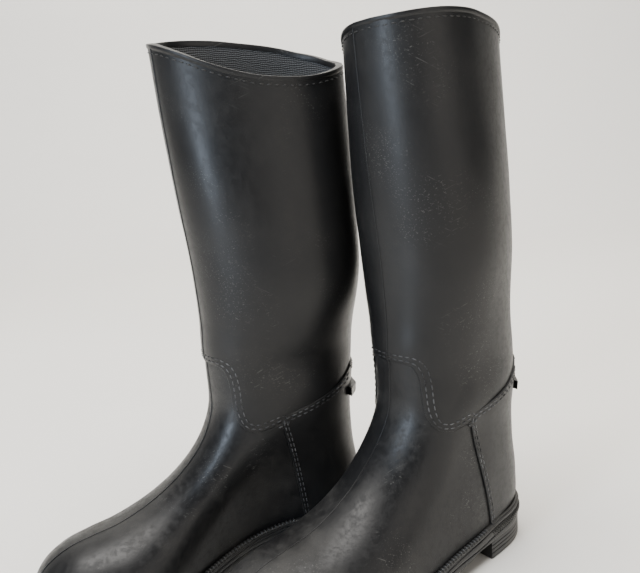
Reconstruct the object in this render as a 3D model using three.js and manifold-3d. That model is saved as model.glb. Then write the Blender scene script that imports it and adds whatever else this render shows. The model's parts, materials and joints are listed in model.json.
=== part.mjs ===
// A pair of tall pull-on rubber riding boots, standing side by side. Millimetres, +Z up, toes towards -Y.
// One boot is drawn in its own frame: p runs forward from the back of the heel, w runs outward to the
// wearer's outer side, z runs up from the ground. The right boot is the left boot mirrored.
import * as THREE from 'three';
import { mergeVertices } from 'three/addons/utils/BufferGeometryUtils.js';
import Module from 'manifold-3d';

const wasm = await Module();
wasm.setup();

// ---- Driving dimensions ----

const GAP = 0.3;            // clearance between touching pieces
const RUBBER = 1.8;         // thickness of the outer rubber panels
const STIFFENER = 0.9;      // thickness of the toe and heel stiffeners
const LINING = 1.0;         // thickness of the knit lining
const STIFFENER_DEPTH = RUBBER + GAP;
const LINING_DEPTH = STIFFENER_DEPTH + STIFFENER + GAP;
const CAVITY_DEPTH = LINING_DEPTH + LINING;

// Height of the rim by the angle round the leg in degrees: 0 in front, 90 outside, -90 inside.
const RIM = [
  [-180, 385], [-154, 380], [-134, 375.5], [-115, 373.5], [-79, 376], [-55, 381], [-35, 388],
  [-20, 395], [-5, 401], [8, 404], [25, 405.5], [45, 407.5], [60, 408], [80, 407], [100, 404.5],
  [125, 401], [140, 398], [155, 393.5], [167, 390], [180, 385],
];
const RIM_MIDDLE = { w: -5, p: 64 };
const LEG_TURN = { angle: 16, from: 150, over: 100, about: 62 };    // degrees, and heights
const LEG_LEAN = { inward: 5, from: 130, over: 90 };
const SHEAR_FROM = 170;     // the rows above this height are stretched to meet the sloping rim
const ROW_TOP = 410;        // height of the first row of SECTIONS
const HEM = 1.5;            // how far the drawn surface runs on below the sole line, before it is trimmed

const WELT = { reach: 3.5, height: 2.7, inside: 5.0 };
const SOLE_REACH = 3.0;     // how far the sole's edge stands out from the upper
const BOARD = { inset: 5.3, thickness: 2.4 };
const INSOLE = { inset: 6.5, thickness: 4 };
const SHANK = { back: 38, front: 150, halfWidth: 7, thickness: 2, cover: 0.6 };
const HEEL = { breast: 62, liftHeight: 5, height: 14.5 };
const SPUR_REST = { bottom: 123, top: 130, reach: 5, wrap: 12 };
const BINDING = { lift: 0.8, height: 1.4, outside: 0.5, inside: 0.5 };
const TOE_STIFFENER_FROM = 216;
const HEEL_STIFFENER = { front: 54, top: 84 };

const RIGHT_BOOT = { x: -88, y: -91, turn: -11 };   // place of its heel beside the left heel; degrees

// Rows down the boot, each from the front of the leg or the top of the foot (p, z) to the back of the
// leg or the line where the upper meets the sole (p, z).
const SECTIONS = [
  [135, 410, -5, 410], [131.5, 350, -6.5, 350], [126.5, 290, -7, 290], [122, 240, -7, 240],
  [120.5, 190, -1, 190], [120, 155, 0, 155], [121, 133, 4, 120], [128, 115, 4, 85],
  [139, 100, 1, 55], [154, 86, 4, 31], [170, 75, 30, 30], [186, 67, 75, 27], [204, 61, 125, 20],
  [223, 58, 170, 14], [242, 54, 210, 13], [259, 45, 243, 15], [269, 32, 264, 17], [272, 19, 272, 19],
];
const HEEL_ROW = 9;         // the row that ends at the bottom of the heel's back
const ROW_STEPS = [
  0, 1.2, 2.4, 3.6, 4.4, 5.2, 6, 7, 8, HEEL_ROW, 9.08, 9.3, 9.62, 10, 10.7, 12, 13, 14, 15, 15.7, 16.4, 17,
];
const HALF_RING = 9;        // faces from the front of a row to its back, on each side
const CUT_SLIVER = 0.02;    // edges shorter than this, left by a cut, are closed up

// The height of the line where upper and sole meet, and the sole's underside, by p.
const FEATHER = [
  [-5, 31], [20, 30.5], [60, 28.5], [95, 24], [130, 18.5], [165, 14.5], [200, 13], [235, 14.5], [275, 19],
];
const UNDERSIDE = [[78, HEEL.height], [100, 9], [130, 4], [165, 0.8], [200, 0], [235, 1.2], [275, 7]];
// Half widths: of the foot by p, and of the leg by z.
const FOOT_WIDTH = [
  [-5, 33], [30, 32], [70, 29], [105, 29], [140, 36], [175, 47], [205, 50], [235, 45], [275, 37],
];
const LEG_WIDTH = [
  [30, 36], [60, 38], [100, 39], [130, 39.5], [160, 40], [190, 45], [220, 49.5], [250, 52], [305, 51.5],
  [350, 49], [400, 46.5],
];
// How far the rounding runs in: of the heel and calf by z, of the shin and instep by the distance
// down them.
const BACK_ROUND = [[30, 45], [60, 47], [100, 54], [150, 64], [200, 71], [300, 79], [440, 77]];
const FRONT_ROUND = [[0, 61], [220, 57], [270, 49], [310, 41], [370, 43], [420, 39], [470, 35]];
// The foot's middle swings outward at the waist and inward at the toe, at the sole and along the ridge.
const SOLE_SWING = [[0, -1], [40, 3], [80, 11], [120, 11], [160, 4], [200, -3], [240, -6], [275, -7]];
const RIDGE_SWING = [[0, -1], [100, -1], [140, -6], [170, -8], [200, -7], [240, -5], [275, -5]];
const ROUNDING = 2.2;       // exponent of the rounding

// ---- Curves ----

const clamp = (x, low, high) => Math.min(high, Math.max(low, x));
const lerp = (a, b, t) => a + (b - a) * t;
const ease = (t) => THREE.MathUtils.smoothstep(t, 0, 1);

// A smooth value between the [x, y] entries of a table.
function along(table, at) {
  const last = table.length - 1;
  const x = clamp(at, table[0][0], table[last][0]);
  let i = 0;
  while (i < last - 1 && x > table[i + 1][0]) i += 1;
  const slope = (k) => {
    const [a, b] = [table[Math.max(k - 1, 0)], table[Math.min(k + 1, last)]];
    return (b[1] - a[1]) / (b[0] - a[0]);
  };
  const h = table[i + 1][0] - table[i][0];
  const t = (x - table[i][0]) / h;
  const [t2, t3] = [t * t, t * t * t];
  return (2 * t3 - 3 * t2 + 1) * table[i][1] + (t3 - 2 * t2 + t) * h * slope(i)
    + (3 * t2 - 2 * t3) * table[i + 1][1] + (t3 - t2) * h * slope(i + 1);
}

const frontLine = new THREE.SplineCurve(SECTIONS.map(([p, z]) => new THREE.Vector2(p, z)));
const backLine = new THREE.SplineCurve(SECTIONS.map(([, , p, z]) => new THREE.Vector2(p, z)));
const ROWS = SECTIONS.length - 1;
const LINE_STEPS = 16 * ROWS;
const frontPoints = frontLine.getPoints(LINE_STEPS);
const backPoints = backLine.getPoints(LINE_STEPS).slice(0, 16 * HEEL_ROW + 1);
const frontLengths = frontPoints.map(() => 0);
for (let i = 1; i <= LINE_STEPS; i += 1) {
  frontLengths[i] = frontLengths[i - 1] + frontPoints[i].distanceTo(frontPoints[i - 1]);
}

// The distance from a side-view point to the front line, and how far down that line it is.
function fromFront(p, z) {
  const nearest = { distance: Infinity, at: 0 };
  for (let i = 0; i < LINE_STEPS; i += 1) {
    const [a, b] = [frontPoints[i], frontPoints[i + 1]];
    const [dp, dz] = [b.x - a.x, b.y - a.y];
    const t = clamp(((p - a.x) * dp + (z - a.y) * dz) / (dp * dp + dz * dz), 0, 1);
    const distance = Math.hypot(p - a.x - t * dp, z - a.y - t * dz);
    if (distance < nearest.distance) {
      nearest.distance = distance;
      nearest.at = lerp(frontLengths[i], frontLengths[i + 1], t);
    }
  }
  return nearest;
}

function backAt(z) {
  const i = backPoints.findIndex((point) => point.y <= z);
  if (i === 0) return backPoints[0].x;
  if (i < 0) return backPoints.at(-1).x;
  const [above, below] = [backPoints[i - 1], backPoints[i]];
  return lerp(below.x, above.x, (z - below.y) / (above.y - below.y));
}

const rounded = (t) => (1 - (1 - clamp(t, 0, 1)) ** ROUNDING) ** (1 / ROUNDING);

function halfWidth(p, z) {
  const up = ease((z - along(FEATHER, p)) / 120);
  const wide = lerp(along(FOOT_WIDTH, p), along(LEG_WIDTH, z), up);
  const front = fromFront(p, z);
  const atBack = rounded((p - backAt(z)) / along(BACK_ROUND, z));
  const atFront = rounded(front.distance / along(FRONT_ROUND, front.at));
  return wide * atBack * atFront;
}

function middle(p, z) {
  const up = ease((z - along(FEATHER, p)) / 90);
  return lerp(along(SOLE_SWING, p), along(RIDGE_SWING, p), up) * (1 - ease((z - 110) / 80));
}

// The leg's oval turns outward and leans inward on its way up.
function turnedLeg(w, p, z) {
  const angle = THREE.MathUtils.degToRad(LEG_TURN.angle) * ease((z - LEG_TURN.from) / LEG_TURN.over);
  const lean = LEG_LEAN.inward * ease((z - LEG_LEAN.from) / LEG_LEAN.over);
  const ahead = p - LEG_TURN.about;
  return [
    w * Math.cos(angle) + ahead * Math.sin(angle) - lean,
    LEG_TURN.about + ahead * Math.cos(angle) - w * Math.sin(angle),
  ];
}

function rimHeight(w, p) {
  const angle = Math.atan2(w - RIM_MIDDLE.w, p - RIM_MIDDLE.p);
  return along(RIM, THREE.MathUtils.radToDeg(angle));
}

// A point of the boot's outer surface: row s, q from 0 at the front to 1 at the back, side 1 outer
// or -1 inner.
function surfacePoint(s, q, side) {
  const front = frontLine.getPoint(s / ROWS);
  const back = backLine.getPoint(s / ROWS);
  const hem = s >= HEEL_ROW ? HEM : 0;
  const [p, z] = [lerp(front.x, back.x, q), lerp(front.y, back.y - hem, q)];
  const onMiddle = q === 0 || s === ROWS || (q === 1 && s <= HEEL_ROW);
  const straight = middle(p, z) + (onMiddle ? 0 : side * halfWidth(p, z));
  const [w, forward] = turnedLeg(straight, p, z);
  const stretch = (rimHeight(w, forward) - SHEAR_FROM) / (ROW_TOP - SHEAR_FROM);
  return new THREE.Vector3(w, -forward, z > SHEAR_FROM ? SHEAR_FROM + (z - SHEAR_FROM) * stretch : z);
}

// ---- Meshes and solids ----

// Joins points closer than `near` and drops the faces that this collapses.
function welded(geometry, near) {
  const merged = mergeVertices(geometry, near);
  const index = Array.from(merged.index.array);
  const kept = [];
  for (let i = 0; i < index.length; i += 3) {
    const [a, b, c] = index.slice(i, i + 3);
    if (a !== b && b !== c && c !== a) kept.push(a, b, c);
  }
  merged.setIndex(kept);
  return merged;
}

function meshOf(points, triangles) {
  const flat = points.flatMap((v) => [v.x, v.y, v.z]);
  const geometry = new THREE.BufferGeometry();
  geometry.setAttribute('position', new THREE.Float32BufferAttribute(flat, 3));
  geometry.setIndex(triangles.flat());
  return welded(geometry, 1e-3);
}

// The faces of a grid of points, `across` points to a row.
function gridFaces(rows, across) {
  const faces = [];
  for (let i = 0; i < rows - 1; i += 1) {
    for (let j = 0; j < across - 1; j += 1) {
      const a = i * across + j;
      faces.push([a, a + 1, a + across], [a + 1, a + across + 1, a + across]);
    }
  }
  return faces;
}

// The boot's outer surface as an open mesh, with normals.
function outerSurface() {
  const points = [];
  for (const s of ROW_STEPS) {
    for (let j = -HALF_RING; j <= HALF_RING; j += 1) {
      const q = (1 - Math.cos(Math.PI * j / HALF_RING)) / 2;
      points.push(surfacePoint(s, q, j < 0 ? 1 : -1));
    }
  }
  const surface = meshOf(points, gridFaces(ROW_STEPS.length, 2 * HALF_RING + 1));
  surface.computeVertexNormals();
  return surface;
}

// A closed wall between two depths below a surface; a negative depth stands out from it.
function wall(surface, outerDepth, innerDepth) {
  const { position, normal } = surface.attributes;
  const count = position.count;
  const points = [];
  for (const depth of [outerDepth, innerDepth]) {
    for (let i = 0; i < count; i += 1) {
      const point = new THREE.Vector3().fromBufferAttribute(position, i);
      points.push(point.addScaledVector(new THREE.Vector3().fromBufferAttribute(normal, i), -depth));
    }
  }
  const index = surface.index.array;
  const edges = new Map();
  const triangles = [];
  for (let i = 0; i < index.length; i += 3) {
    const [a, b, c] = [index[i], index[i + 1], index[i + 2]];
    triangles.push([a, b, c], [a + count, c + count, b + count]);
    for (const [from, to] of [[a, b], [b, c], [c, a]]) edges.set(`${from},${to}`, [from, to]);
  }
  for (const [from, to] of edges.values()) {
    if (edges.has(`${to},${from}`)) continue;
    triangles.push([to, from, from + count], [to, from + count, to + count]);
  }
  return meshOf(points, triangles);
}

function solid(geometry) {
  const plain = new THREE.BufferGeometry();
  plain.setAttribute('position', geometry.getAttribute('position'));
  plain.setIndex(geometry.index);
  const merged = mergeVertices(plain, 1e-4);
  const made = new wasm.Manifold(new wasm.Mesh({
    numProp: 3,
    vertProperties: merged.attributes.position.array,
    triVerts: new Uint32Array(merged.index.array),
  }));
  if (made.volume() < 0) throw new Error('inside out');
  return made;
}

function geometryOf(manifold) {
  const { numProp, vertProperties, triVerts } = manifold.getMesh();
  const geometry = new THREE.BufferGeometry();
  const positions = new Float32Array(vertProperties.length / numProp * 3);
  for (let i = 0; i * numProp < vertProperties.length; i += 1) {
    positions.set(vertProperties.subarray(i * numProp, i * numProp + 3), i * 3);
  }
  geometry.setAttribute('position', new THREE.BufferAttribute(positions, 3));
  geometry.setIndex(Array.from(triVerts));
  return welded(geometry, CUT_SLIVER);
}

// A side-view outline carried right across the boot.
function prism(outline, halfSpan = 90) {
  const shape = new THREE.Shape(outline);
  const geometry = new THREE.ExtrudeGeometry(shape, { depth: 2 * halfSpan, bevelEnabled: false });
  const turn = new THREE.Matrix4().set(0, 0, -1, halfSpan, -1, 0, 0, 0, 0, 1, 0, 0, 0, 0, 0, 1);
  geometry.deleteAttribute('normal');
  geometry.deleteAttribute('uv');
  return solid(geometry.applyMatrix4(turn));
}

// The same outline, pushed outward all round.
function grown(outline, by) {
  const counterClockwise = THREE.ShapeUtils.area(outline) > 0 ? 1 : -1;
  return outline.map((point, i) => {
    const before = outline.at(i - 1);
    const after = outline[(i + 1) % outline.length];
    const n1 = new THREE.Vector2(point.y - before.y, before.x - point.x).normalize();
    const n2 = new THREE.Vector2(after.y - point.y, point.x - after.x).normalize();
    const out = n1.add(n2).normalize();
    return point.clone().addScaledVector(out, by * counterClockwise);
  });
}

// ---- The upper's seam lines, side view ----

const CURVE_STEPS = 5;

function shaftOutline() {
  const line = new THREE.Shape();
  line.moveTo(-40, 460);
  line.lineTo(-40, 152);
  line.lineTo(9, 149);
  line.bezierCurveTo(22, 136, 50, 131, 75, 126);
  line.lineTo(79, 121);
  line.lineTo(94, 117.5);
  line.bezierCurveTo(107, 117.5, 111.5, 122, 111.5, 143);
  line.bezierCurveTo(111.5, 156, 112, 170, 119, 170);
  line.lineTo(200, 170);
  line.lineTo(200, 460);
  return line.getPoints(CURVE_STEPS);
}

function counterOutline() {
  const line = new THREE.Shape();
  line.moveTo(-40, 0);
  line.lineTo(60, 0);
  line.lineTo(60, 28);
  line.bezierCurveTo(62, 60, 73, 96, 79, 121);
  line.lineTo(79, 160);
  line.lineTo(-40, 160);
  return line.getPoints(CURVE_STEPS);
}

const box = (back, front, bottom, top) => [
  new THREE.Vector2(back, bottom), new THREE.Vector2(front, bottom),
  new THREE.Vector2(front, top), new THREE.Vector2(back, top),
];

// ---- The sole ----

const SOLE_STATIONS = 18;
const FOOT_BACK = backAt(31);
const FOOT_LENGTH = SECTIONS[ROWS][0] - FOOT_BACK;
const feather = (p) => along(FEATHER, p);
const underside = (p) => along(UNDERSIDE, p);

// Everything below the line where the upper sits on the sole, side view.
function seatOutline() {
  const steps = 26;
  const line = [new THREE.Vector2(-40, -20), new THREE.Vector2(310, -20)];
  for (let i = steps; i >= 0; i -= 1) {
    const p = lerp(-40, 310, i / steps);
    line.push(new THREE.Vector2(p, feather(p) + GAP / 2));
  }
  return line;
}

// The plan of the foot where it meets the sole, pushed out by `reach`: pairs of outer and inner points.
function footPlan(reach) {
  const sides = [1, -1].map((side) => {
    const line = [];
    for (let i = 0; i <= SOLE_STATIONS; i += 1) {
      const p = FOOT_BACK + FOOT_LENGTH * (1 - Math.cos(Math.PI * i / SOLE_STATIONS)) / 2;
      line.push(new THREE.Vector2(p, middle(p, feather(p)) + side * halfWidth(p, feather(p))));
    }
    return line;
  });
  const pushed = sides.map((line, k) => line.map((point, i) => {
    const other = sides[1 - k];
    const before = i > 0 ? line[i - 1] : other[1];
    const after = i < SOLE_STATIONS ? line[i + 1] : other[SOLE_STATIONS - 1];
    const out = new THREE.Vector2(before.y - after.y, after.x - before.x).normalize();
    return point.clone().addScaledVector(out, k === 0 ? reach : -reach);
  }));
  return pushed[0].map((point, i) => [point, pushed[1][i]]);
}

// A slab between two heights, each a function of p, over pairs of outer and inner plan points.
function slab(pairs, top, bottom) {
  const points = [];
  for (const [outer, inner] of pairs) {
    const corners = [[outer, top], [inner, top], [inner, bottom], [outer, bottom], [outer, top]];
    for (const [at, height] of corners) points.push(new THREE.Vector3(at.y, -at.x, height(at.x)));
  }
  const faces = gridFaces(pairs.length, 5);
  const last = 5 * (pairs.length - 1);
  faces.push([0, 2, 1], [0, 3, 2], [last, last + 1, last + 2], [last, last + 2, last + 3]);
  return meshOf(points, faces);
}

// ---- Pieces of one boot ----

const skin = outerSurface();
const seatCut = prism(seatOutline());
const upperWall = (outerDepth, innerDepth) => solid(wall(skin, outerDepth, innerDepth)).subtract(seatCut);
const rubber = upperWall(0, RUBBER);
const shaftCut = prism(grown(shaftOutline(), GAP));
const counterCut = prism(grown(counterOutline(), GAP));

const shaftPanel = () => rubber.intersect(prism(shaftOutline()));
const heelCounter = () => rubber.intersect(prism(counterOutline())).subtract(shaftCut);
const vamp = () => rubber.subtract(shaftCut).subtract(counterCut);
const knitLining = () => upperWall(LINING_DEPTH, CAVITY_DEPTH);
const stiffenerWall = () => upperWall(STIFFENER_DEPTH, STIFFENER_DEPTH + STIFFENER);
const toeStiffener = () => stiffenerWall().intersect(prism(box(TOE_STIFFENER_FROM, 290, 0, 90)));
const heelStiffener = () => {
  const extent = box(-40, HEEL_STIFFENER.front, 0, HEEL_STIFFENER.top);
  return stiffenerWall().intersect(prism(extent));
};

// A short ledge round the back of the heel, for the spur to rest on.
function spurRest() {
  const ledge = solid(wall(skin, -GAP - SPUR_REST.reach, -GAP));
  return ledge.intersect(prism(box(-40, SPUR_REST.wrap, SPUR_REST.bottom, SPUR_REST.top)));
}

// The band that caps the top edge of panels and lining.
function topBinding() {
  const ring = [];
  const steps = 2 * HALF_RING;
  for (let j = 0; j < steps; j += 1) {
    const side = j < HALF_RING ? 1 : -1;
    const q = (1 - Math.cos(Math.PI * j / HALF_RING)) / 2;
    ring.push(surfacePoint(0, q, side));
  }
  const points = [];
  for (let j = 0; j <= steps; j += 1) {
    const at = ring[j % steps];
    const [before, after] = [ring[(j + steps - 1) % steps], ring[(j + 1) % steps]];
    const out = new THREE.Vector3(after.y - before.y, before.x - after.x, 0).normalize();
    const inside = -CAVITY_DEPTH - BINDING.inside;
    const { outside, lift } = BINDING;
    const top = lift + BINDING.height;
    const corners = [[inside, lift], [inside, top], [outside, top], [outside, lift], [inside, lift]];
    for (const [reach, up] of corners) {
      points.push(at.clone().addScaledVector(out, reach).add(new THREE.Vector3(0, 0, up)));
    }
  }
  return solid(meshOf(points, gridFaces(steps + 1, 5)));
}

const belowFeather = (by) => (p) => feather(p) - by;
const WELT_BOTTOM = GAP + WELT.height;
const SOLE_TOP = WELT_BOTTOM + GAP;

function welt() {
  const outside = solid(slab(footPlan(WELT.reach), belowFeather(GAP), belowFeather(WELT_BOTTOM)));
  const hole = solid(slab(footPlan(-WELT.inside), belowFeather(-1), belowFeather(WELT_BOTTOM + 1)));
  return outside.subtract(hole);
}

function shankStrip(spare) {
  const top = SOLE_TOP + SHANK.cover - spare;
  const bottom = SOLE_TOP + SHANK.cover + SHANK.thickness + spare;
  const pairs = [];
  const stretches = 8;
  for (let i = 0; i <= stretches; i += 1) {
    const p = lerp(SHANK.back - spare, SHANK.front + spare, i / stretches);
    const half = SHANK.halfWidth + spare;
    const at = middle(p, feather(p));
    pairs.push([new THREE.Vector2(p, at + half), new THREE.Vector2(p, at - half)]);
  }
  return solid(slab(pairs, belowFeather(spare > 0 ? SOLE_TOP - 1 : top), belowFeather(bottom)));
}

function outsole() {
  const body = solid(slab(footPlan(SOLE_REACH), belowFeather(SOLE_TOP), underside));
  return body.subtract(shankStrip(GAP));
}

const insoleBoard = () => {
  const bottom = belowFeather(GAP + BOARD.thickness);
  return solid(slab(footPlan(-BOARD.inset), belowFeather(GAP), bottom));
};
const insole = () => solid(slab(footPlan(-INSOLE.inset), belowFeather(-INSOLE.thickness), belowFeather(0)));

function heelSlab(top, bottom) {
  const plan = solid(slab(footPlan(SOLE_REACH), () => top, () => bottom));
  return plan.intersect(prism(box(-40, HEEL.breast, -10, 60)));
}

const heelBlock = () => heelSlab(HEEL.height - GAP, HEEL.liftHeight + GAP);
const heelTopLift = () => heelSlab(HEEL.liftHeight, 0);

// ---- Finishes ----

function finish(color, roughness, metalness = 0) {
  return new THREE.MeshStandardMaterial({ color, roughness, metalness });
}

const BLACK_RUBBER = finish(0x1b1c1f, 0.4);
const SOLE_RUBBER = finish(0x161617, 0.6);
const KNIT = finish(0x2c2e31, 0.95);
const BOARD_FIBRE = finish(0x8b6d48, 0.9);
const STEEL = finish(0x8f9296, 0.35, 1);
const STIFF_SHEET = finish(0x6b6f73, 0.8);
const FOAM = finish(0x3a3c40, 0.9);

const PIECES = [
  ['shaft_panel', shaftPanel, BLACK_RUBBER],
  ['vamp', vamp, BLACK_RUBBER],
  ['heel_counter', heelCounter, BLACK_RUBBER],
  ['top_binding', topBinding, BLACK_RUBBER],
  ['spur_rest', spurRest, BLACK_RUBBER],
  ['knit_lining', knitLining, KNIT],
  ['toe_stiffener', toeStiffener, STIFF_SHEET],
  ['heel_stiffener', heelStiffener, STIFF_SHEET],
  ['welt', welt, SOLE_RUBBER],
  ['outsole', outsole, SOLE_RUBBER],
  ['heel_block', heelBlock, SOLE_RUBBER],
  ['heel_top_lift', heelTopLift, SOLE_RUBBER],
  ['shank', shankStrip.bind(null, 0), STEEL],
  ['insole_board', insoleBoard, BOARD_FIBRE],
  ['insole', insole, FOAM],
];

const left = new THREE.Group();
const right = new THREE.Group();
for (const [name, make, material] of PIECES) {
  const geometry = geometryOf(make());
  for (const [boot, side] of [[left, 'left'], [right, 'right']]) {
    const mesh = new THREE.Mesh(geometry, material);
    mesh.name = `${side}_${name}`;
    boot.add(mesh);
  }
}
right.scale.x = -1;
right.position.set(RIGHT_BOOT.x, RIGHT_BOOT.y, 0);
right.rotation.z = THREE.MathUtils.degToRad(RIGHT_BOOT.turn);

// The pair stands on the ground with the middle of its floor plan over the origin.
const pair = new THREE.Group();
pair.add(left, right);
pair.updateMatrixWorld(true);
const extent = new THREE.Box3().setFromObject(pair, true);
const centre = extent.getCenter(new THREE.Vector3());
pair.position.set(-centre.x, -centre.y, 0);

export default pair;
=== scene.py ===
# A pair of tall black rubber riding boots: every rubber panel, seam, stitch, welt rib and sole edge,
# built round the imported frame. Shapes are worked out in millimetres in one boot's own frame
# (w outward, p forward from the heel's back, z up), and placed in metres. The right boot mirrors the left.
import json
import math

import bpy
import numpy as np
from mathutils import Matrix, Vector, noise


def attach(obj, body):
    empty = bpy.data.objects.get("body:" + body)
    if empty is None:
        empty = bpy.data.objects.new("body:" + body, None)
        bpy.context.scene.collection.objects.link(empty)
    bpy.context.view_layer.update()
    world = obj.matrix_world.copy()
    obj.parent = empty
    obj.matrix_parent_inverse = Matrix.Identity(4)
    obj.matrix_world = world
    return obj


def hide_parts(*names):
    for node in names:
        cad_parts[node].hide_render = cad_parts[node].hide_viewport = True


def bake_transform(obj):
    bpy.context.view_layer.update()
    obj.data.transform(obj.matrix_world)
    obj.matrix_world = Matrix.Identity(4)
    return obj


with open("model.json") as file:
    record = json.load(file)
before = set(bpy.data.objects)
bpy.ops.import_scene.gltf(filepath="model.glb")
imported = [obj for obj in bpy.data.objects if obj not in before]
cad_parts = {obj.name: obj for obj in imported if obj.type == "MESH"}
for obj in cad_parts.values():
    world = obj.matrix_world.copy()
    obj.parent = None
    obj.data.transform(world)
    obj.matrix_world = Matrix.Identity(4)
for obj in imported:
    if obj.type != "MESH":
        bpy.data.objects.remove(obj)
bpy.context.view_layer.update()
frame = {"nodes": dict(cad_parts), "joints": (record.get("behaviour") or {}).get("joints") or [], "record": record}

mm = 0.001
sides = ("left", "right")

# the last that the boot is drawn on
last = {
    # front of the leg or top of the foot (p, z), and back of the leg or sole line (p, z), row by row
    "sections": [
        (135, 410, -5, 410), (131.5, 350, -6.5, 350), (126.5, 290, -7, 290), (122, 240, -7, 240),
        (120.5, 190, -1, 190), (120, 155, 0, 155), (121, 133, 4, 120), (128, 115, 4, 85),
        (139, 100, 1, 55), (154, 86, 4, 31), (170, 75, 30, 30), (186, 67, 75, 27),
        (204, 61, 125, 20), (223, 58, 170, 14), (242, 54, 210, 13), (259, 45, 243, 15),
        (269, 32, 264, 17), (272, 19, 272, 19)],
    "heelRow": 9,           # the row that ends at the bottom of the heel's back
    # height of the line where upper and sole meet, and of the sole's underside, by p
    "feather": [
        (-5, 31), (20, 30.5), (60, 28.5), (95, 24), (130, 18.5), (165, 14.5), (200, 13), (235, 14.5),
        (275, 19)],
    "underside": [(78, 14.5), (100, 9), (130, 4), (165, 0.8), (200, 0), (235, 1.2), (275, 7)],
    # half widths: of the foot by p, and of the leg by z
    "footWidth": [
        (-5, 33), (30, 32), (70, 29), (105, 29), (140, 36), (175, 47), (205, 50), (235, 45), (275, 37)],
    "legWidth": [
        (30, 36), (60, 38), (100, 39), (130, 39.5), (160, 40), (190, 45), (220, 49.5), (250, 52),
        (305, 51.5), (350, 49), (400, 46.5)],
    # how far the rounding runs in: at the back by z, and at the front by the distance down it
    "backRound": [(30, 45), (60, 47), (100, 54), (150, 64), (200, 71), (300, 79), (440, 77)],
    "frontRound": [(0, 61), (220, 57), (270, 49), (310, 41), (370, 43), (420, 39), (470, 35)],
    "rounding": 2.2,        # exponent of the rounding
    # where the foot's middle swings to, at the sole and along the ridge, by p
    "soleSwing": [
        (0, -1), (40, 3), (80, 11), (120, 11), (160, 4), (200, -3), (240, -6), (275, -7)],
    "ridgeSwing": [(0, -1), (100, -1), (140, -6), (170, -8), (200, -7), (240, -5), (275, -5)],
    # rim height by the angle round the leg: 0 in front, 90 outside, -90 inside
    "rim": [
        (-180, 385), (-154, 380), (-134, 375.5), (-115, 373.5), (-79, 376), (-55, 381), (-35, 388),
        (-20, 395), (-5, 401), (8, 404), (25, 405.5), (45, 407.5), (60, 408), (80, 407),
        (100, 404.5), (125, 401), (140, 398), (155, 393.5), (167, 390), (180, 385)],
    "rimMiddle": (-5, 64), "legMiddle": (0, 65),
    "shearFrom": 170, "rowTop": 410,        # heights between which the rows stretch to meet the rim
    # the leg's oval turns outward and leans inward on its way up
    "legTurn": {"angle": 16, "from": 150, "over": 100, "about": 62},
    "legLean": {"inward": 5, "from": 130, "over": 90},
    "faceSize": 2.6, "aroundHalf": 190,     # size of the surface's faces, and half the way round it
}


def ease(t):
    t = np.clip(t, 0, 1)
    return t * t * (3 - 2 * t)


def along(table, at):
    # a smooth value between the (x, y) entries of a table
    rows = np.asarray(table, float)
    x, y = rows[:, 0], rows[:, 1]
    slope = np.empty(len(x))
    slope[1:-1] = (y[2:] - y[:-2]) / (x[2:] - x[:-2])
    slope[0] = (y[1] - y[0]) / (x[1] - x[0])
    slope[-1] = (y[-1] - y[-2]) / (x[-1] - x[-2])
    at = np.clip(at, x[0], x[-1])
    i = np.clip(np.searchsorted(x, at, side="right") - 1, 0, len(x) - 2)
    h = x[i + 1] - x[i]
    t = (at - x[i]) / h
    rise = (2 * t**3 - 3 * t**2 + 1) * y[i] + (3 * t**2 - 2 * t**3) * y[i + 1]
    return rise + (t**3 - 2 * t**2 + t) * h * slope[i] + (t**3 - t**2) * h * slope[i + 1]


def smoothLine(points, t):
    # a smooth line through the points; t counts points from the start
    points = np.asarray(points, float)
    t = np.asarray(t, float)
    i = np.clip(np.floor(t).astype(int), 0, len(points) - 2)
    u = (t - i)[..., None]
    before = points[np.where(i == 0, i, i - 1)]
    after = points[np.where(i > len(points) - 3, len(points) - 1, i + 2)]
    a, b = points[i], points[i + 1]
    v0, v1 = (b - before) / 2, (after - a) / 2
    return (2 * a - 2 * b + v0 + v1) * u**3 + (3 * b - 3 * a - 2 * v0 - v1) * u**2 + v0 * u + a


sections = np.array(last["sections"], float)
rowCount = len(sections) - 1
stepsToRow = 16
linePlaces = np.linspace(0, rowCount, stepsToRow * rowCount + 1)
frontLine = smoothLine(sections[:, :2], linePlaces)
backLine = smoothLine(sections[:, 2:], linePlaces)[:stepsToRow * last["heelRow"] + 1]
frontLength = np.concatenate([[0], np.cumsum(np.linalg.norm(np.diff(frontLine, axis=0), axis=1))])


def nearestOn(line, p, z):
    # distance from side-view points to a line of points, and the part of a segment where it is nearest
    best = np.full(p.shape, 1e9)
    place = np.zeros(p.shape)
    for k in range(len(line) - 1):
        step = line[k + 1] - line[k]
        overP, overZ = p - line[k, 0], z - line[k, 1]
        t = np.clip((overP * step[0] + overZ * step[1]) / max(step @ step, 1e-12), 0, 1)
        distance = np.hypot(overP - t * step[0], overZ - t * step[1])
        nearer = distance < best
        best[nearer] = distance[nearer]
        place[nearer] = k + t[nearer]
    return best, place


def rounded(t):
    power = last["rounding"]
    return (1 - (1 - np.clip(t, 0, 1)) ** power) ** (1 / power)


def feather(p):
    return along(last["feather"], p)


def halfWidth(p, z):
    up = ease((z - feather(p)) / 120)
    wide = (1 - up) * along(last["footWidth"], p) + up * along(last["legWidth"], z)
    distance, place = nearestOn(frontLine, p, z)
    reach = along(last["frontRound"], np.interp(place, np.arange(len(frontLength)), frontLength))
    back = np.interp(z, backLine[::-1, 1], backLine[::-1, 0])
    return wide * rounded((p - back) / along(last["backRound"], z)) * rounded(distance / reach)


def middleOf(p, z):
    up = ease((z - feather(p)) / 90)
    swing = (1 - up) * along(last["soleSwing"], p) + up * along(last["ridgeSwing"], p)
    return swing * (1 - ease((z - 110) / 80))


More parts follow.
